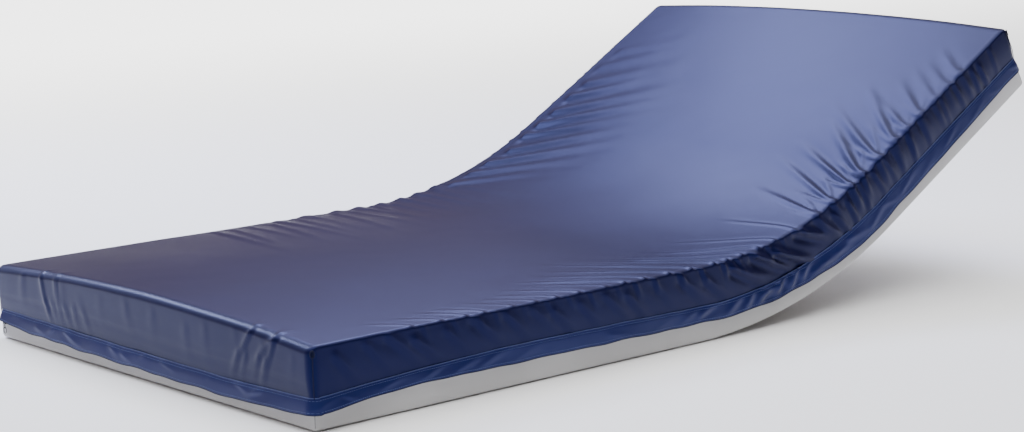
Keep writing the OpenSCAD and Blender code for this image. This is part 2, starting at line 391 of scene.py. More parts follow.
def near_creases():
    """Creases that cross the near top edge: (s, angle, length, width, height, bow, hook)."""
    chance = random.Random(11)
    found = []
    s = S_FOOT + CREASE_FREE_FOOT
    while s < S_HEAD - CREASE_FREE_HEAD:
        angle = near_crease_angle(s) + chance.uniform(-0.09, 0.09)
        if s > CREASE_TURN_S:
            near_bend = swell(s, BACK_CREASE_S, 0.26)
            length = 0.13 + 0.20 * near_bend * chance.uniform(0.6, 1.1)
            width, height, hook = 0.0070, 0.0016 + 0.0042 * near_bend, -0.004
        else:
            near_bend = swell(s, SEAT_CREASE_S, 0.26)
            length = 0.12 + 0.25 * near_bend * chance.uniform(0.7, 1.2)
            width, height, hook = 0.0040, 0.0020 + 0.0028 * near_bend, 0.016
        gap = chance.uniform(0.040, 0.070)
        found.append((s, angle, length, width, height * chance.uniform(0.6, 1.15),
                      chance.uniform(-0.2, 0.2), hook))
        s += gap
    return found


NEAR_CREASES = near_creases()


def side_branches(chance):
    """Shorter creases that fan out from each near crease of the back."""
    found = []
    for s, angle, length, width, height, bow, hook in NEAR_CREASES:
        for lean in (-0.34, 0.30) if s > CREASE_TURN_S else ():
            found.append(((s - 0.02 * lean, NEAR_EDGE_Y), angle + lean * chance.uniform(0.7, 1.2),
                          length * chance.uniform(0.3, 0.5), width * 0.6,
                          height * chance.uniform(0.35, 0.6), bow, hook * 0.5))
    return found


def far_back_creases(chance):
    """Wide soft creases from the far edge of the back."""
    found = []
    s = 0.26
    while s < S_HEAD - 0.2:
        near_bend = swell(s, BACK_CREASE_S, 0.24)
        angle = -math.radians(58 + 22 * (s - 0.3)) + chance.uniform(-0.06, 0.06)
        found.append(((s, HALF_W - chance.uniform(0.035, 0.055)), angle,
                      0.24 + 0.16 * near_bend * chance.uniform(0.8, 1.2), 0.0150,
                      (0.0014 + 0.0056 * near_bend) * chance.uniform(0.7, 1.1),
                      chance.uniform(-0.2, 0.1), 0.0))
        s += chance.uniform(0.052, 0.074)
    return found


def far_seat_creases(chance):
    """Bumps on the far edge before the bend, and faint long creases from it."""
    found = [((s, HALF_W - 0.01), -1.9, 0.06, 0.014, 0.0034, 0.0, 0.0) for s in FAR_BUMPS]
    s = -0.42
    while s < 0.28:
        found.append(((s, HALF_W - chance.uniform(0.0, 0.06)),
                      -math.radians(100 + chance.uniform(-4, 6)), chance.uniform(0.28, 0.46), 0.0085,
                      chance.uniform(0.0009, 0.0018), chance.uniform(-0.1, 0.1), 0.0))
        s += chance.uniform(0.035, 0.055)
    return found


def foot_pinches(chance):
    """Small puckers where the foot end's folds reach the top."""
    return [((S_FOOT + 0.006, y), lean, chance.uniform(0.024, 0.042), 0.0032, 0.0012, 0.0, 0.0)
            for y in FOOT_PINCHES for lean in (-0.5, 0.0, 0.45)]


def top_creases():
    """Every crease of the top as (start, angle, length, width, height, bow, hook)."""
    chance = random.Random(12)
    found = [((s, NEAR_EDGE_Y), *rest) for s, *rest in NEAR_CREASES]
    for kind in (side_branches, far_back_creases, far_seat_creases, foot_pinches):
        found += kind(chance)
    return found


FAR_BUMPS = (-0.17, -0.08, -0.02, 0.05, 0.11, 0.17, 0.23)
FOOT_PINCHES = (-0.432, -0.362, 0.30, 0.355)
TOP_CREASES = top_creases()


# The top sinks at most this far into the foam, and at most this far within a margin of its ends
TOP_DENT, END_DENT, END_MARGIN = 0.0018, 0.0003, 0.03


def top_relief(s, y):
    """How far the top stands above its smooth shape."""
    relief = 0.0009 * smooth_noise(s, y, 0.19, 3) + 0.0002 * smooth_noise(s, y, 0.06, 4)
    for start, angle, length, width, height, bow, hook in TOP_CREASES:
        relief = relief + crease(s, y, start, angle, length, width, height, bow=bow, hook=hook)
    near_end = np.minimum(s - S_FOOT, S_HEAD - s) < END_MARGIN
    return np.maximum(relief, np.where(near_end, -END_DENT, -TOP_DENT))


SIDES = ("near", "far", "foot", "head")
# Folds from the foot end's pinches as (y, lean in degrees, height)
FOOT_FOLDS = ((-0.432, -40, 0.0036), (-0.436, -62, 0.0030), (-0.362, -52, 0.0032),
              (0.30, -98, 0.0022), (0.355, -104, 0.0016))
# Short folds low on the foot end as (places, start height, lean in degrees, length, height)
FOOT_SHORT_FOLDS = (((-0.405, -0.385, -0.345, -0.320), 0.105, -62, 0.060, 0.0018),
                    ((0.20, 0.235, 0.27, 0.315, 0.34), 0.100, -104, 0.055, 0.0016))


def on_back(s):
    """0 before the bend's end, rising softly to 1 on the back."""
    return 1 / (1 + math.exp(-(s - 0.42) / 0.05))


def long_wall_folds(chance):
    """Folds of a long side: one below each near crease, and slanting ones most of them in the bend."""
    found = []
    for s, _, _, width, height, _, _ in NEAR_CREASES:
        back = on_back(s)
        found.append(((s, EDGE_H + 0.004), math.radians(-62 - 24 * back + chance.uniform(-8, 8)),
                      0.045 + 0.03 * back, width, height * 1.1))
    s = S_FOOT + 0.05
    while s < S_HEAD - 0.03:
        bend, back = swell(s, 0.24, 0.15), on_back(s)
        angle = math.radians(-42 + 18 * bend - 42 * back + chance.uniform(-6, 6))
        height = 0.0032 + 0.0100 * bend + 0.0010 * back
        width = 0.0075 + 0.0005 * bend - 0.0020 * back
        found.append(((s, EDGE_H - chance.uniform(0.004, 0.026)), angle,
                      0.095 + 0.06 * bend, width, height * chance.uniform(0.5, 1.1)))
        s += chance.uniform(0.050, 0.080) + 0.012 * bend - 0.026 * back
    return found


def end_wall_folds(chance):
    """Faint upright folds of an end."""
    found = []
    y = -HALF_W + 0.05
    while y < HALF_W - 0.04:
        found.append(((y, EDGE_H - chance.uniform(0.0, 0.03)),
                      math.radians(-90 + chance.uniform(-14, 14)),
                      chance.uniform(0.05, 0.09), 0.010, chance.uniform(0.0004, 0.0012)))
        y += chance.uniform(0.06, 0.11)
    return found


def wall_folds(side):
    """Folds on a wall as (start along and up, angle, length, width, height)."""
    chance = random.Random(21 + SIDES.index(side))
    found = long_wall_folds(chance) if side in ("near", "far") else end_wall_folds(chance)
    if side == "foot":
        for y, lean, height in FOOT_FOLDS:
            found.append(((y, EDGE_H + 0.002), math.radians(lean), 0.125, 0.0048, height))
        for places, start, lean, length, height in FOOT_SHORT_FOLDS:
            for y in places:
                turned = math.radians(lean + chance.uniform(-7, 7))
                found.append(((y, start), turned, length, 0.0052, height))
    return found


WALL_FOLDS = {side: wall_folds(side) for side in SIDES}


def wall_relief(side, along, h):
    """How far a wall stands out of its smooth shape."""
    relief = 0.0008 * smooth_noise(along, h, 0.11, 31)
    valley = 0.15 if side == "foot" else 0.6
    for start, angle, length, width, height in WALL_FOLDS[side]:
        relief = relief + crease(along, h, start, angle, length, width, height, 0.5,
                                 pinch=0.010, valley=valley)
    if side == "foot":  # a shallow line across, where the wall is joined
        line = 0.085 + 0.006 * np.sin(along * 5.0)
        relief = relief - 0.0010 * np.exp(-((h - line) / 0.004) ** 2)
    ends = (S_FOOT, S_HEAD) if side in ("near", "far") else (-HALF_W, HALF_W)
    inside = np.minimum(along - ends[0], ends[1] - along)
    return relief * np.clip((inside - 0.012) / 0.035, 0, 1)


# ---- Outlines along the walls --------------------------------------------------------------------

# Heights of the flap's sewn top and of its loose lower edge, from the foot's corner to the head's
SIDE_S = [S_FOOT, S_FOOT + 0.10, S_FOOT + 0.22, S_FOOT + 0.43, -0.20, 0.05, 0.25, 0.50, 0.80, S_HEAD]
SEAM_H = [0.057, 0.063, 0.069, 0.075, 0.073, 0.069, 0.068, 0.069, 0.071, 0.072]
LOOSE_H = [0.031, 0.041, 0.047, 0.045, 0.043, 0.040, 0.034, 0.027, 0.036, 0.043]
FOOT_Y = [-HALF_W, -0.30, 0.05, 0.40, HALF_W - 0.03, HALF_W]
FOOT_SEAM_H = [0.057, 0.050, 0.052, 0.057, 0.059, 0.058]
FOOT_LOOSE_H = [0.031, 0.022, 0.024, 0.029, 0.038, 0.040]


def soft_interp(at, places, values):
    """Linear between the values, rounded by averaging over 6 cm."""
    spread = np.linspace(-0.03, 0.03, 7)
    return np.mean([np.interp(at + shift, places, values) for shift in spread], axis=0)


def flap_heights(side, along):
    """Heights of the flap's seam and of its loose edge."""
    if side == "foot":
        seam, loose = (soft_interp(along, FOOT_Y, v) for v in (FOOT_SEAM_H, FOOT_LOOSE_H))
    elif side == "head":
        seam, loose = 0.072 + 0 * along, 0.042 + 0 * along
    else:
        seam, loose = (soft_interp(along, SIDE_S, v) for v in (SEAM_H, LOOSE_H))
    ripple = 0.0016 * np.sin(along * 46 + 1.3) * smooth_noise(along, along * 0, 0.12, 41)
    return seam + 0.5 * ripple, loose + 1.5 * ripple


# ---- Meshes --------------------------------------------------------------------------------------


def lines(stops, steps):
    """Evenly spaced values that include every stop. steps is one spacing, or one for each stretch."""
    found = [stops[0]]
    steps = steps if isinstance(steps, tuple) else (steps,) * (len(stops) - 1)
    for a, b, step in zip(stops, stops[1:], steps):
        count = max(1, math.ceil((b - a) / step - 1e-6))
        found += [a + (b - a) * (i + 1) / count for i in range(count)]
    return np.array(found)


def rim_columns(n, m, corner_steps=6):
    """Columns round a grid's rim as (row, column, outward s, outward y, side), counter-clockwise."""
    fan = [i * math.pi / 2 / corner_steps for i in range(1, corner_steps)]
    columns = [(i, 0, 0.0, -1.0, "near") for i in range(n)]
    columns += [(n - 1, 0, math.sin(a), -math.cos(a), "near") for a in fan]
    columns += [(n - 1, j, 1.0, 0.0, "head") for j in range(m)]
    columns += [(n - 1, m - 1, math.cos(a), math.sin(a), "head") for a in fan]
    columns += [(i, m - 1, 0.0, 1.0, "far") for i in reversed(range(n))]
    columns += [(0, m - 1, -math.sin(a), math.cos(a), "far") for a in fan]
    columns += [(0, j, -1.0, 0.0, "foot") for j in reversed(range(m))]
    columns += [(0, 0, -math.cos(a), -math.sin(a), "foot") for a in fan]
    return columns


def shell(grid_h, rows, inset, s_step, y_lines, outward_relief, grid_relief):
    """A cover: a panel with a wall round its rim. rows gives (stand-out, height, share of the
    wall's relief) of each ring on the way down."""
    s_lines = lines([S_FOOT + inset] + BREAKS + [S_HEAD - inset], s_step)
    n, m = len(s_lines), len(y_lines)
    s, y = (a.ravel() for a in np.meshgrid(s_lines, y_lines, indexing="ij"))
    relief = grid_relief(s, y)
    points = [np.column_stack([s, y, grid_h(s, y) + relief])]
    columns = rim_columns(n, m)
    at = np.array([c[0] * m + c[1] for c in columns])
    out_s, out_y = (np.array([c[k] for c in columns]) for k in (2, 3))
    sides = np.array([c[4] for c in columns])
    along = np.where((sides == "near") | (sides == "far"), s[at], y[at])
    for stand, height, share in rows(sides, along, grid_h(s[at], y[at]), out_s * out_s):
        push = np.maximum(outward_relief(sides, along, height), -0.0008 - 0.0030 * share ** 6) * share
        lift = relief[at] * np.sqrt(np.clip(1 - share * share, 0, 1))
        points.append(np.column_stack([s[at] + (stand + push) * out_s,
                                       y[at] + (stand + push) * out_y, height + lift]))
    faces = [(i * m + j, (i + 1) * m + j, (i + 1) * m + j + 1, i * m + j + 1)
             for i in range(n - 1) for j in range(m - 1)]
    count, first = len(columns), n * m
    for c in range(count):
        d = (c + 1) % count
        if at[c] == at[d]:
            faces.append((at[c], first + c, first + d))
        else:
            faces.append((at[c], first + c, first + d, at[d]))
        for row in range(len(points) - 2):
            low = first + row * count
            faces.append((low + c, low + count + c, low + count + d, low + d))
    return np.concatenate(points), faces


def by_side(relief_of, sides, along, height):
    out = np.zeros(len(along))
    for side in SIDES:
        chosen = sides == side
        out[chosen] = relief_of(side, along[chosen], np.broadcast_to(height, along.shape)[chosen])
    return out


def make_mesh(name, points, faces, uv=None):
    mesh = bpy.data.meshes.new(name)
    mesh.from_pydata(points.tolist(), [], [tuple(int(v) for v in f) for f in faces])
    mesh.polygons.foreach_set("use_smooth", [True] * len(mesh.polygons))
    if uv is not None:
        layer = mesh.uv_layers.new(name="UVMap")
        corner_vertex = np.zeros(len(mesh.loops), np.int32)
        mesh.loops.foreach_get("vertex_index", corner_vertex)
        layer.data.foreach_set("uv", uv[corner_vertex].astype(np.float32).ravel())
    return mesh


def add_object(name, mesh, material, slot):
    piece = bpy.data.objects.new(name, mesh)
    bpy.context.scene.collection.objects.link(piece)
    mesh.materials.append(material)
    return piece


PARTS = ("foot", "bend_1", "bend_2", "bend_3", "bend_4", "back")


def split_at_bends(name, points, faces, uv, material, slot):
    """Cuts a long piece at BREAKS: the end parts are parented to the foot's and the back's bodies, and
    the parts between are left where they are. The parts keep the whole piece's normals, so the cuts
    don't show."""
    placed = to_frame(points)
    whole = make_mesh(name + "_whole", placed, faces)
    normals = np.zeros(len(placed) * 3, np.float32)
    whole.vertex_normals.foreach_get("vector", normals)
    normals = normals.reshape(-1, 3)
    bpy.data.meshes.remove(whole)
    middle = np.array([points[list(f), 0].mean() for f in faces])
    part_of = np.searchsorted(BREAKS, middle)
    pieces = {}
    for part, label in enumerate(PARTS):
        chosen = [faces[i] for i in np.nonzero(part_of == part)[0]]
        if not chosen:
            continue
        used = np.unique(np.concatenate([np.array(f) for f in chosen]))
        new_index = np.full(len(points), -1)
        new_index[used] = np.arange(len(used))
        mesh = make_mesh(f"{name}_{label}", placed[used], [new_index[list(f)] for f in chosen],
                         uv[used])
        mesh.normals_split_custom_set_from_vertices(normals[used].tolist())
        piece = add_object(f"{name}_{label}", mesh, material, slot)
        attach(piece, part)
        pieces[part] = piece
    return pieces


def attach(piece, part):
    """Part 0 is parented to the foot and 5 to the back; parts 1 to 4, which lie across hinges 1 to 4,
    keep their place and don't bend.
    """
    if part == 0:
        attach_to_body(piece, BODIES[0])
    elif part == 5:
        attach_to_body(piece, BODIES[4])
    else:
        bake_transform(piece)


def replace_sections(pieces, *kinds):
    """Hides each section's CAD nodes of these kinds, so the pieces built here show in their place."""
    for section, part in enumerate([0, 1, 2, 3, 5]):
        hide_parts(*[f"{kind}_{section}" for kind in kinds])


def declare_covers(pieces, drop):
    """Finds which section each piece of a cover lies in, and does nothing more with it."""
    for part, piece in pieces.items():
        section = {0: 0, 5: 4}.get(part, min(part, 4))


# ---- Top cover -----------------------------------------------------------------------------------

ROUND = 0.013
# How far the ends' top edges swell outwards, and how far the rounding reaches down
FOOT_FULLNESS, HEAD_FULLNESS = 0.0065, 0.0095
SIDE_DROP, END_DROP = 0.0075, 0.016
TOP_ROWS = 17
WALL_BELLY, WALL_TUCK = 0.0028, 0.0010
FAR_SEAM_H = 0.041
# The covers' walls add this much to each edge of the flat cloth
TOP_WALL_CUT, BASE_WALL_CUT = 0.085, 0.048


def crowned_h(s, y):
    return EDGE_H + CROWN * (1 - (y / HALF_W) ** 2)


def wall_ends(sides, along, line, past):
    """Where a cover's wall ends: at the far seam, or past the flap's line (0 seam, 1 loose edge)."""
    return np.array([FAR_SEAM_H if side == "far" else flap_heights(side, np.array([q]))[line][0] + past
                     for side, q in zip(sides, along)])


def top_rows(sides, along, rim_h, end):
    """Round the edge, softly at the ends (end = 1) and crisply along the sides, then down the wall
    to behind the flap, or to the sewn seam on the far side."""
    full = np.interp(along, [S_FOOT, 0, S_HEAD], [FOOT_FULLNESS, 0, HEAD_FULLNESS])
    full = np.where(sides == "foot", FOOT_FULLNESS, np.where(sides == "head", HEAD_FULLNESS, full))
    full = full * end
    reach = ROUND + full
    drop = SIDE_DROP * (1 - end) + END_DROP * end
    for a in (12, 26, 40, 54, 68, 80, 90):
        turn = math.radians(a)
        power = 0.72 + 0.28 * end
        yield (reach * math.sin(turn) ** power, rim_h - drop * (1 - max(math.cos(turn), 0) ** power),
               math.sin(turn) ** 2)
    seam = wall_ends(sides, along, 0, -0.010)
    for i in range(1, TOP_ROWS + 1):
        t = i / TOP_ROWS
        belly = WALL_BELLY * math.sin(math.pi * t) - WALL_TUCK * t
        yield reach - full * t + belly, (rim_h - drop) * (1 - t) + seam * t, 1.0


def top_y_lines():
    """Fine lines near the long sides, where the creases start, and wider ones between."""
    low = HALF_W - ROUND
    return lines([-low, -low + 0.10, -low + 0.30, low - 0.20, low], (0.0034, 0.0048, 0.0080, 0.0048))


def add_top_cover(material):
    points, faces = shell(crowned_h, top_rows, ROUND, 0.0046, top_y_lines(),
                          lambda sides, q, h: by_side(wall_relief, sides, q, h), top_relief)
    uv = points[:, :2] + np.column_stack([points[:, 2] * 0, -points[:, 2]])
    pieces = split_at_bends("top_cover", points, faces, uv, material, "top_fabric")
    replace_sections(pieces, "top_cover")
    declare_covers(pieces, TOP_WALL_CUT)


# ---- Base cover ----------------------------------------------------------------------------------

BASE_ROUND = 0.007
BASE_ROWS = 7
BASE_INSET = 0.001  # the wall stands this far inside the top cover's
BASE_SAG = 0.0006


def base_rows(sides, along, rim_h, end):
    """Round the lower edge and up the wall to behind the flap, or to the far seam."""
    for a in (30, 60, 90):
        turn = math.radians(a)
        stand = BASE_ROUND * math.sin(turn) - BASE_INSET * math.sin(turn)
        yield stand, rim_h + BASE_ROUND * (1 - math.cos(turn)), math.sin(turn)
    top = wall_ends(sides, along, 1, 0.012)
    for i in range(1, BASE_ROWS + 1):
        t = i / BASE_ROWS
        stand = BASE_ROUND - BASE_INSET - BASE_SAG * math.sin(math.pi * t)
        yield stand, (rim_h + BASE_ROUND) * (1 - t) + top * t, 1.0


def base_relief(side, along, h):
    slack = 0.0012 * smooth_noise(along, h, 0.07, 51) + 0.0005 * smooth_noise(along, h, 0.02, 52)
    for start, angle, height in BASE_PUCKERS[side]:
        slack = slack + crease(along, h, (start, 0.040), angle, 0.038, 0.0065, height)
    return slack * np.clip(h / 0.02, 0, 1)


def base_puckers(side):
    """Short folds that hang from the zip, most of them in the bend."""
    chance = random.Random(81 + SIDES.index(side))
    long_side = side in ("near", "far")
    low, high = (S_FOOT + 0.03, S_HEAD - 0.03) if long_side else (-HALF_W + 0.03, HALF_W - 0.03)
    found = []
    at = low
    while at < high:
        bend = swell(at, 0.16, 0.20) if long_side else 0
        found.append((at, math.radians(-90 + chance.uniform(-45, 45)),
                      (0.0008 + 0.0024 * bend) * chance.uniform(0.4, 1.2)))
        at += chance.uniform(0.04, 0.12)
    return found


BASE_PUCKERS = {side: base_puckers(side) for side in SIDES}


def add_base_cover(material):
    y_lines = lines([-HALF_W + BASE_ROUND, HALF_W - BASE_ROUND], 0.02)
    points, faces = shell(lambda s, y: 0.0 * s, base_rows, BASE_ROUND, 0.010, y_lines,
                          lambda sides, q, h: by_side(base_relief, sides, q, h),
                          lambda s, y: 0.0 * s)
    faces = [tuple(reversed(f)) for f in faces]
    uv = points[:, :2] + np.column_stack([points[:, 2] * 0, points[:, 2]])
    pieces = split_at_bends("base_cover", points, faces, uv, material, "base_fabric")
    replace_sections(pieces, "base_cover")
    declare_covers(pieces, BASE_WALL_CUT)


# ---- Strips round the foot, near side and head ---------------------------------------------------


PATH_STEP = 0.005
PATH_R = 0.014


def wall_path():
    """Points on the walls from the far foot corner round to the far head corner, as arrays
    s, y, outward s, outward y, side and how far along that side."""
    fan = [i * math.pi / 12 for i in range(1, 6)]
    stop = HALF_W - PATH_R
    along = lines([S_FOOT + PATH_R] + BREAKS + [S_HEAD - PATH_R], PATH_STEP)
    across = lines([-stop, stop], PATH_STEP)
    rows = [(S_FOOT, y, -1, 0, "foot", y) for y in reversed(across)]
    rows += [(S_FOOT + PATH_R - PATH_R * math.cos(a), -stop - PATH_R * math.sin(a),
              -math.cos(a), -math.sin(a), "foot", -HALF_W) for a in fan]
    rows += [(s, -HALF_W, 0, -1, "near", s) for s in along]
    rows += [(S_HEAD - PATH_R + PATH_R * math.sin(a), -stop - PATH_R * math.cos(a),
              math.sin(a), -math.cos(a), "near", S_HEAD) for a in fan]
    rows += [(S_HEAD, y, 1, 0, "head", y) for y in across]
    *numbers, sides, places = zip(*rows)
    return [np.array(c, float) for c in numbers] + [np.array(sides), np.array(places, float)]


PATH = wall_path()
PATH_LENGTH = np.concatenate([[0], np.cumsum(np.hypot(np.diff(PATH[0]), np.diff(PATH[1])))])


def path_heights():
    side, along = PATH[4], PATH[5]
    seam, loose = np.zeros(len(along)), np.zeros(len(along))
    for name in ("foot", "near", "head"):
        chosen = side == name
        seam[chosen], loose[chosen] = flap_heights(name, along[chosen])
    return seam, loose


FLAP_SEAM, FLAP_LOOSE = path_heights()


def strip(profile, closed=True):
    """Sweeps a profile, a list of (stand-out, height) arrays, along PATH."""
    s, y, out_s, out_y = PATH[:4]
    rows = [np.column_stack([s + stand * out_s, y + stand * out_y, h]) for stand, h in profile]
    count = len(s)
    points = np.concatenate(rows)
    faces = []
    last = len(rows) if closed else len(rows) - 1
    for k in range(last):
        a, b = k * count, ((k + 1) % len(rows)) * count
        faces += [(a + i, a + i + 1, b + i + 1, b + i) for i in range(count - 1)]
    heights = np.concatenate([h for _, h in profile])
    uv = np.column_stack([np.tile(PATH_LENGTH, len(rows)), heights])
    return points, faces, uv


def flap_folds():
    """Folds of the flap as (distance along PATH, height, angle, length, width, height)."""
    chance = random.Random(71)
    near_start = PATH_LENGTH[np.argmax(PATH[4] == "near")] - S_FOOT
    found = []
    at = 0.06
    while at < PATH_LENGTH[-1] - 0.05:
        bend = swell(at, near_start + 0.20, 0.20)
        rise = math.radians(chance.choice((-1, 1)) * chance.uniform(12, 30) + 30 * bend)
        found.append((at, 0.048 + chance.uniform(-0.010, 0.012), rise, chance.uniform(0.05, 0.11),
                      0.0052 + 0.0038 * bend, (0.0016 + 0.0046 * bend) * chance.uniform(0.6, 1.2)))
        at += chance.uniform(0.05, 0.10) * (1 - 0.5 * bend)
    return found


FLAP_FOLDS = flap_folds()
# 1 along the foot, where the slider has to pass under the flap, fading to 0 along the near side
FOOT_SHARE = np.clip(1 - (PATH_LENGTH - 2 * HALF_W - 0.01) / 0.20, 0, 1)


def flap_stand(t):
    """How far the flap's outside stands off the wall at a share t of the way down."""
    heights = FLAP_SEAM * (1 - t) + FLAP_LOOSE * t
    billow = smooth_noise(PATH_LENGTH - 0.03 * t, 0 * PATH_LENGTH, 0.11, 62)
    folds = 0 * PATH_LENGTH
    for at, h, angle, length, width, height in FLAP_FOLDS:
        folds = folds + crease(PATH_LENGTH, heights, (at, h), angle, length, width, height)
    gather = math.sin(math.pi * min(1, 0.25 + 0.75 * t))
    relief = t * 0.0014 * billow + np.clip(folds, -0.0024, 0.0070) * gather
    relief = np.maximum(relief, 0.0035 * FOOT_SHARE - 0.0035)
    return 0.0022 + (0.0040 + 0.0045 * FOOT_SHARE) * t ** 0.6 + relief


def part_length(part):
    """Length along PATH of a part's stretch, round its end of the mattress too."""
    ends = {0: -S_FOOT + 2 * HALF_W, 5: S_HEAD - S_BEND + 2 * HALF_W}
    return ends.get(part, BREAKS[1] - BREAKS[0])


FLAP_THICK = 0.0012
FLAP_ROWS = 9


def down_flap(t):
    """Height of the flap at a share t of the way down."""
    return FLAP_SEAM * (1 - t) + FLAP_LOOSE * t


def add_flap(material):
    """One layer of cloth that ends in a hem, whose lip turns up behind it."""
    outside = [(0.0006 + 0 * FLAP_SEAM, FLAP_SEAM + 0.0016),
               (0.0022 + 0 * FLAP_SEAM, FLAP_SEAM + 0.0012)]
    for i in range(FLAP_ROWS + 1):
        outside.append((flap_stand(i / FLAP_ROWS), down_flap(i / FLAP_ROWS)))
    hem = [(flap_stand(1) - share * FLAP_THICK, FLAP_LOOSE - 0.0006) for share in (0.2, 0.8)]
    lip = [(stand - FLAP_THICK, h) for stand, h in (outside[-1], outside[-2])]
    points, faces, uv = strip(outside + hem + lip, closed=False)
    pieces = split_at_bends("zip_flap", points, faces, uv, material, "flap_fabric")
    replace_sections(pieces, "zip_flap")
    for part, piece in pieces.items():
        round(part_length(part), 3)


ZIP_H = 0.041
COIL_PITCH = 0.0022
COIL_MARGIN = 0.030
# Faces of a small box whose corners are listed four round one end, then four round the other
BOX_FACES = ((0, 1, 5, 4), (1, 2, 6, 5), (2, 3, 7, 6), (3, 0, 4, 7), (3, 2, 1, 0), (4, 5, 6, 7))


def add_zip(tape_material, coil_material):
    """The zip under the flap: its tape, and the coil's turns side by side."""
    middle = np.where(PATH[4] == "foot", ZIP_H, np.maximum(ZIP_H, FLAP_LOOSE + 0.0065))
    low, high, wall = middle - 0.0055, middle + 0.009, 0 * middle
    front = wall + 0.0007
    tape = strip([(wall, low), (front, low), (front, high), (wall, high)])
    pieces = split_at_bends("zip_tape", *tape, tape_material, "zip_coil")
    replace_sections(pieces, "zip_chain")
    points, faces = [], []
    at = np.arange(COIL_MARGIN, PATH_LENGTH[-1] - COIL_MARGIN, COIL_PITCH)
    s, y, out_s, out_y, coil_h = (np.interp(at, PATH_LENGTH, f) for f in (*PATH[:4], middle))
    for k in range(len(at)):
        base = len(points)
        for down in (-0.0017, 0.0017):
            for c, d in ((0.0005, -0.0006), (0.0012, -0.0004), (0.0012, 0.0004), (0.0005, 0.0006)):
                points.append((s[k] + c * out_s[k] - d * out_y[k], y[k] + c * out_y[k] + d * out_s[k],
                               coil_h[k] + down + 2.5 * d))
        faces += [tuple(base + v for v in f) for f in BOX_FACES]
    points = np.array(points)
    split_at_bends("zip_coil", points, faces, points[:, :2], coil_material, "zip_coil")


def add_edge_line(name, stand, height, radius, material):
    """A thin raised line along PATH, such as a seam's edge."""
    ring = [(math.cos(a), math.sin(a)) for a in np.linspace(0, 2 * math.pi, 7)[:-1]]
    points, faces, uv = strip([(stand + radius * c, height + radius * d) for c, d in ring])
    split_at_bends(name, points, faces, uv, material, "seam_bead")


STITCH_PITCH, STITCH_LENGTH, STITCH_R, STITCH_MARGIN = 0.0048, 0.0032, 0.00045, 0.004


def add_stitches(name, share, material):
    """Lock stitches along the flap at a share of the way down, each a small flat bead."""
    points, faces = [], []
    at = np.arange(STITCH_MARGIN, PATH_LENGTH[-1] - STITCH_MARGIN, STITCH_PITCH)
    fields = (*PATH[:4], flap_stand(share) + 0.0001, down_flap(share))
    start = [np.interp(at, PATH_LENGTH, f) for f in fields]
    end = [np.interp(at + STITCH_LENGTH, PATH_LENGTH, f) for f in fields]
    for both in zip(zip(*start), zip(*end)):
        base = len(points)
        for s, y, out_s, out_y, off, h in both:
            for c, d in ((0, STITCH_R), (STITCH_R, 0), (0, -STITCH_R), (-STITCH_R, 0)):
                points.append((s + (off + c) * out_s, y + (off + c) * out_y, h + d))
        faces += [tuple(base + v for v in f) for f in BOX_FACES]
    points = np.array(points)
    split_at_bends(name, points, faces, points[:, :2], material, "seam_bead")


# ---- Sewn corners and far seam -------------------------------------------------------------------


def tube(name, path, radius, material, part, closed=False):
    """A round bead along a path of bed coordinates, on one part."""
    path = np.array(path)
    ahead = np.roll(path, -1, 0) - np.roll(path, 1, 0)
    if not closed:
        ahead[0], ahead[-1] = path[1] - path[0], path[-1] - path[-2]
    ahead = ahead / np.linalg.norm(ahead, axis=1)[:, None]
    side = np.cross(ahead, [0.31, 0.22, 0.93] if closed else [1, 0.3, 0.1])
    side = side / np.linalg.norm(side, axis=1)[:, None]
    up = np.cross(side, ahead)
    turns = np.linspace(0, 2 * math.pi, 9)[:-1]
    rings = [path + radius * (math.cos(a) * side + math.sin(a) * up) for a in turns]
    points = np.stack(rings, 1).reshape(-1, 3)
    count, round_count = len(path), len(turns)
    faces = []
    for i in range(count if closed else count - 1):
        j = (i + 1) % count
        faces += [(i * round_count + k, j * round_count + k, j * round_count + (k + 1) % round_count,
                   i * round_count + (k + 1) % round_count) for k in range(round_count)]
    if not closed:
        faces.append(tuple(range(round_count)))
        faces.append(tuple((count - 1) * round_count + k for k in reversed(range(round_count))))
    uv = np.column_stack([np.repeat(np.arange(count) * 0.003, round_count),
                          np.tile(np.arange(round_count) * 0.001, count)])
    piece = add_object(name, make_mesh(name, to_frame(points), faces, uv), material, "seam_bead")
    attach(piece, part)
    return piece


FOOT_PART, BACK_PART = 0, 5
CORNERS = {"foot_near": (S_FOOT, -1, FOOT_PART), "foot_far": (S_FOOT, 1, FOOT_PART),
           "head_near": (S_HEAD, -1, BACK_PART), "head_far": (S_HEAD, 1, BACK_PART)}
CORNER_BEAD_R, LOOP_BEAD_R, BASE_BEAD_R = 0.0008, 0.0012, 0.0006
LOOP_HALF_WIDE, LOOP_HALF_TALL = 0.0036, 0.0060


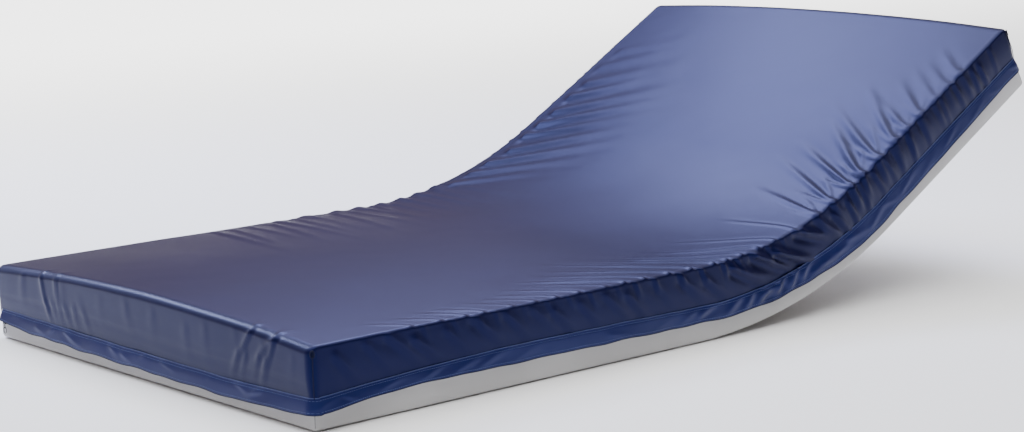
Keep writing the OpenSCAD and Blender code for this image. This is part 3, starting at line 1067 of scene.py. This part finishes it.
def add_corner(name, s_end, y_side, part, material, base_material):
    """The upright seams at a corner of both covers, with the pinched loop of fabric at the top."""
    inward_s = math.copysign(1, S_FOOT + S_HEAD - 2 * s_end)
    inset = ROUND * (1 - math.sqrt(0.5)) - CORNER_BEAD_R
    s, y = s_end + inward_s * inset, y_side * (HALF_W - inset)
    low = FAR_SEAM_H if y_side > 0 else (0.052 if part == FOOT_PART else 0.066)
    high = EDGE_H - 0.006
    full = (FOOT_FULLNESS if part == FOOT_PART else HEAD_FULLNESS) / 2
    path = []
    for i in range(25):
        t = i / 24
        out = 0.0026 * math.sin(math.pi * t) + full * t + 0.0005 * math.sin(9 * t + y_side)
        path.append((s - inward_s * 0.7 * out, y + y_side * 0.7 * out, low * (1 - t) + high * t))
    seam = tube(f"corner_seam_{name}", path, CORNER_BEAD_R, material, part)
    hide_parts(f"corner_seam_{name}")
    shift = 0.0012 + 0.7 * full
    middle = (s - inward_s * shift, y + y_side * shift, high - 0.0060)
    loop = []
    for i in range(20):
        a = 2 * math.pi * i / 20
        wide, tall = LOOP_HALF_WIDE * math.cos(a), LOOP_HALF_TALL * math.sin(a)
        loop.append((middle[0] + 0.7 * wide, middle[1] + inward_s * y_side * 0.7 * wide,
                     middle[2] + tall))
    tube(f"corner_loop_{name}", loop, LOOP_BEAD_R, material, part, closed=True)
    inset = BASE_ROUND * (1 - math.sqrt(0.5)) + BASE_BEAD_R
    low, high = 0.006, 0.037 if y_side > 0 or part == BACK_PART else 0.030
    path = [(s_end + inward_s * inset, y_side * (HALF_W - inset), low + (high - low) * i / 8)
            for i in range(9)]
    tube(f"base_seam_{name}", path, BASE_BEAD_R, base_material, part)


def add_far_seam(material):
    """The sewn joint of the two covers along the far side."""
    s = lines([S_FOOT + 0.012] + BREAKS + [S_HEAD - 0.012], 0.006)
    turns = np.linspace(0, 2 * math.pi, 9)[:-1]
    wobble = 0.0004 * np.sin(s * 130)
    rings = [np.column_stack([s, HALF_W + 0.0004 + 0.0014 * math.cos(a) + 0 * s,
                              FAR_SEAM_H + 0.0018 * math.sin(a) + wobble]) for a in turns]
    count = len(s)
    faces = [(k * count + i, k * count + i + 1, ((k + 1) % 8) * count + i + 1, ((k + 1) % 8) * count + i)
             for k in range(8) for i in range(count - 1)]
    points = np.concatenate(rings)
    pieces = split_at_bends("far_seam", points, faces, points[:, [0, 2]], material, "seam_bead")
    replace_sections(pieces, "far_seam")


# ---- Build ---------------------------------------------------------------------------------------

add_camera()
add_studio()

# Each fabric's colour, roughness, thread pitch and depth of weave
NAVY = weave("top_fabric", (0.0035, 0.0040, 0.026), 0.36, 0.0012, 0.00006, sheen=0.02, gloss=0.30,
             gloss_tint=(0.20, 0.27, 1.0))
FLAP_BLUE = weave("flap_fabric", (0.009, 0.013, 0.068), 0.34, 0.0012, 0.00006, sheen=0.04, gloss=0.45,
                  gloss_tint=(0.35, 0.42, 1.0))
BASE_GREY = weave("base_fabric", (0.54, 0.535, 0.54), 0.85, 0.0016, 0.0006, patch=0.06)
SEAM_BLUE = weave("seam_bead", (0.030, 0.048, 0.170), 0.4, 0.0012, 0.0002)
SEAM_GREY = weave("base_seam", (0.20, 0.20, 0.21), 0.8, 0.0012, 0.0002)
HEM_NAVY = weave("hem", (0.006, 0.008, 0.030), 0.55, 0.0012, 0.0002, gloss=0.12)
THREAD = weave("thread", (0.05, 0.08, 0.24), 0.5, 0.0008, 0.0001)
TAPE = weave("zip_tape", (0.012, 0.015, 0.035), 0.8, 0.0009, 0.0003)
COIL = worn("zip_coil", (0.015, 0.016, 0.022), 0.35, 0.0)
BLACK_METAL = worn("zip_hardware", (0.012, 0.012, 0.014), 0.32, 0.4)
WIRE = worn("loop_wire", (0.020, 0.020, 0.022), 0.3, 0.5)

CARRIED_OVER = {
    "comfort_foam": foam("comfort_foam", (0.80, 0.74, 0.50)),
    "core_foam": foam("core_foam", (0.48, 0.62, 0.72)),
    "side_bolsters": foam("bolster_foam", (0.24, 0.30, 0.38)),
    "foot_bolster": foam("foot_bolster_foam", (0.24, 0.30, 0.38)),
    "heel_block": foam("heel_foam", (0.78, 0.50, 0.44)),
    "zip_stop": BLACK_METAL, "zip_slider": BLACK_METAL, "pull_link": BLACK_METAL, "pull_loop": WIRE}
for node_name, node in frame["nodes"].items():
    for kind, material in CARRIED_OVER.items():
        if node_name.startswith(kind):
            node.data.materials.clear()
            node.data.materials.append(material)

add_top_cover(NAVY)
add_base_cover(BASE_GREY)
add_flap(FLAP_BLUE)
add_edge_line("flap_ridge", 0.0016 + 0 * FLAP_SEAM, FLAP_SEAM + 0.0016, 0.0010, SEAM_BLUE)
add_edge_line("flap_hem", flap_stand(1) - 0.0003, FLAP_LOOSE - 0.0003, 0.0009, HEM_NAVY)
add_stitches("flap_stitch_top", 0.1, THREAD)
add_stitches("flap_stitch_hem", 0.86, THREAD)
add_zip(TAPE, COIL)
for corner, (s_end, y_side, part) in CORNERS.items():
    add_corner(corner, s_end, y_side, part, HEM_NAVY, SEAM_GREY)
add_far_seam(SEAM_BLUE)

full_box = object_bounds()
[[list(map(float, corner)) for corner in box] for box in (rest_box, full_box)]
